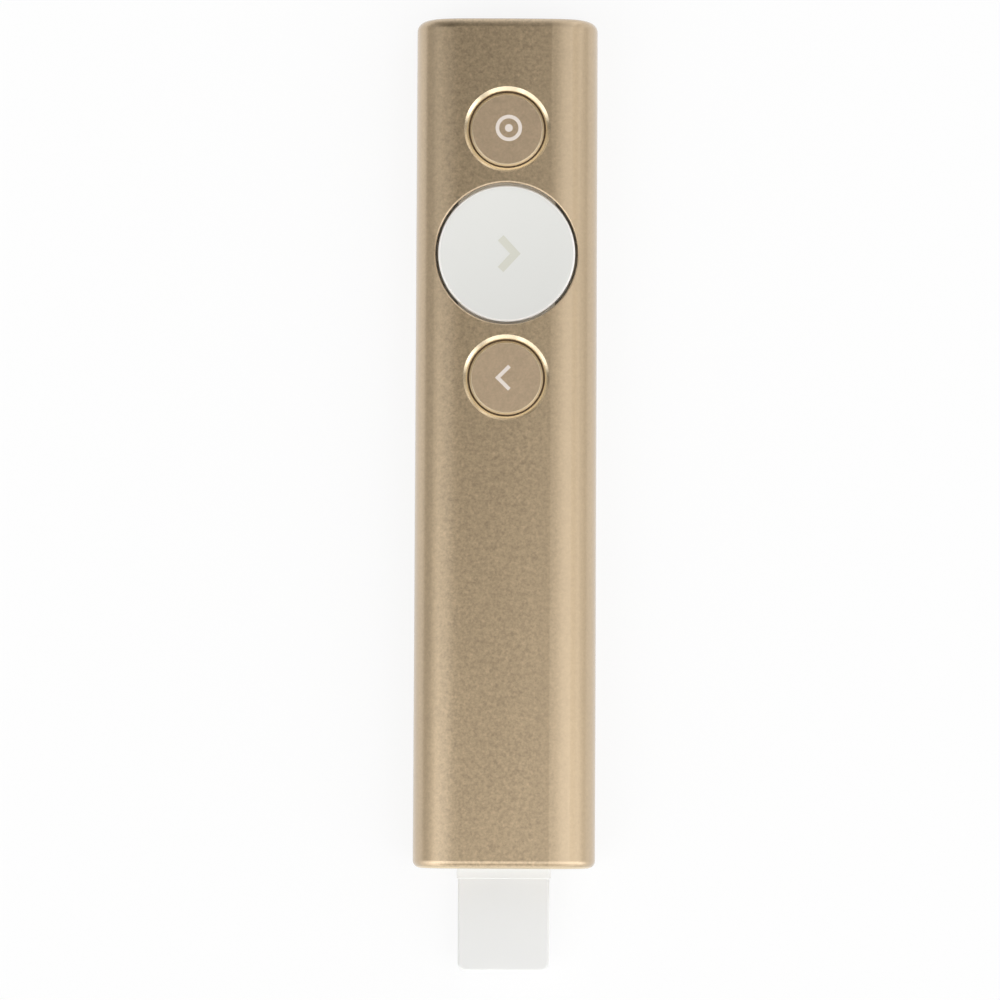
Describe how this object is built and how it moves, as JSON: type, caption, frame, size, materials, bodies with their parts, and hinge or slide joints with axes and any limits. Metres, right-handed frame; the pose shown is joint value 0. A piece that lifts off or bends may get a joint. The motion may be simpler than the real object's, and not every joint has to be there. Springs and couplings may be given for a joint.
{
  "type": "wireless presentation clicker",
  "caption": "Slim metal presentation clicker with a dished forward button between smaller pointer and back buttons, and a pull-out receiver stowed in its tail.",
  "frame": {"origin": "middle of the flat back of the tube, on the surface that the clicker lies on", "axes": "+Z out of the button face, +Y from the tail with the receiver to the nose, +X to the right"},
  "size_m": [0.0282, 0.1473, 0.0121],
  "materials": {
    "gold_aluminium": "bead-blasted, anodised pale gold, bevels polished",
    "gold_disc": "fine satin, anodised pale gold",
    "white_button": "smooth satin white",
    "gold_plastic": "fine matte, tinted to match the tube",
    "white_silicone": "matte white silicone",
    "receiver_plastic": "fine matte white",
    "chassis_plastic": "fine moulded texture, black",
    "key_plastic": "fine matte, brown, to match the tube",
    "frame_plastic": "fine matte, pale tan",
    "board_laminate": "green solder mask",
    "chip_black": "moulded epoxy, black",
    "antenna_ceramic": "glazed off-white",
    "spring_steel": "bright rolled sheet",
    "plug_steel": "nickel-plated sheet",
    "screw_steel": "black-oxide steel",
    "contact_gold": "gold-plated strip",
    "cell_foil": "silver laminate pouch",
    "foam_pad": "closed-cell foam, dark grey",
    "lead_nickel": "bright rolled nickel strip",
    "rotor_metal": "sintered heavy metal"
  },
  "bodies": {
    "housing": {"housing": "gold_aluminium", "nose_cap": "gold_plastic", "tail_bezel": "gold_plastic", "chassis": "chassis_plastic", "main_board": "board_laminate", "button_frame": "frame_plastic", "board_screws": "screw_steel", "battery": "cell_foil", "cell_board": "board_laminate", "battery_pad": "foam_pad", "battery_leads": "lead_nickel", "motor_base": "spring_steel", "motor_case": "spring_steel", "motor_shaft": "spring_steel", "charge_port_shell": "plug_steel", "charge_port_tongue": "chip_black", "radio_shield": "plug_steel", "antenna": "antenna_ceramic", "board_chips": "chip_black", "receiver_dock": "chassis_plastic", "dock_spring": "spring_steel", "pointer_switch": "chip_black", "next_switch": "chip_black", "back_switch": "chip_black"},
    "pointer_button": {"pointer_cap": "gold_disc", "pointer_key": "key_plastic", "pointer_plunger": "white_button"},
    "next_button": {"next_cap": "white_button", "next_key": "frame_plastic", "next_plunger": "white_button"},
    "back_button": {"back_cap": "gold_disc", "back_key": "key_plastic", "back_plunger": "white_button"},
    "motor_rotor": {"motor_rotor": "rotor_metal"},
    "receiver": {"receiver_housing": "receiver_plastic", "receiver_end_cap": "receiver_plastic", "receiver_tab": "white_silicone", "receiver_plug_shell": "plug_steel", "receiver_tongue": "white_button", "receiver_contacts": "contact_gold", "receiver_board": "board_laminate", "receiver_chip": "chip_black"}
  },
  "joints": [
    {"name": "pointer_press", "type": "slide", "parent": "housing", "child": "pointer_button", "axis": [0, 0, -1], "range_m": [0, 0.00035], "stiffness_N_per_m": 1500, "springref_m": -0.0003},
    {"name": "next_press", "type": "slide", "parent": "housing", "child": "next_button", "axis": [0, 0, -1], "range_m": [0, 0.00035], "stiffness_N_per_m": 1500, "springref_m": -0.0003},
    {"name": "back_press", "type": "slide", "parent": "housing", "child": "back_button", "axis": [0, 0, -1], "range_m": [0, 0.00035], "stiffness_N_per_m": 1500, "springref_m": -0.0003},
    {"name": "receiver_pull", "type": "slide", "parent": "housing", "child": "receiver", "axis": [0, -1, 0], "range_m": [0, 0.028]},
    {"name": "rotor_spin", "type": "hinge", "parent": "housing", "child": "motor_rotor", "pos_m": [-0.006, -0.0098, 0.00885], "axis": [0, 0, 1], "continuous": true}
  ]
}
